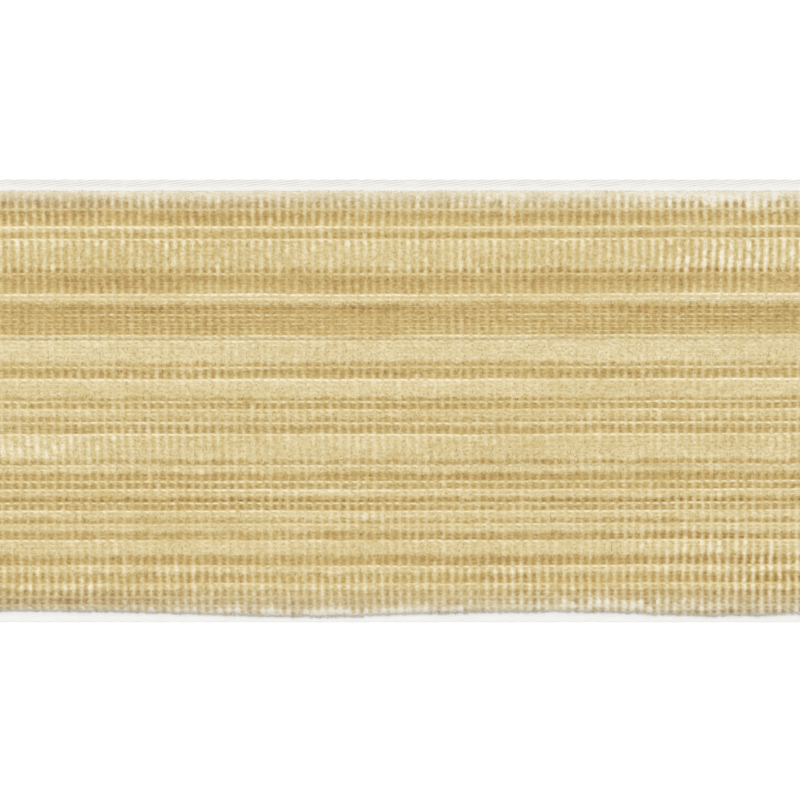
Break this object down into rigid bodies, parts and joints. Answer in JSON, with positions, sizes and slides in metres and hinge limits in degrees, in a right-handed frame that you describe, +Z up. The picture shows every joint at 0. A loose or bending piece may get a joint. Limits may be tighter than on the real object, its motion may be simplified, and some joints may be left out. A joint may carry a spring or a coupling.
{
  "type": "velvet tape trim",
  "caption": "Straight cut length of flat velvet tape with a banded, ribbed cut pile between two narrow bare selvedges, lying flat with its pile up.",
  "frame": {"origin": "middle of the flat back, on the surface that the tape lies on", "axes": "+X along the tape, +Y across it, +Z up out of the pile"},
  "size_m": [0.1, 0.038, 0.0021],
  "materials": {
    "velvet": "cut velvet pile in soft gold, with bare off-white woven selvedges"
  },
  "bodies": {
    "root": {"velvet_tape": "velvet"}
  },
  "joints": []
}
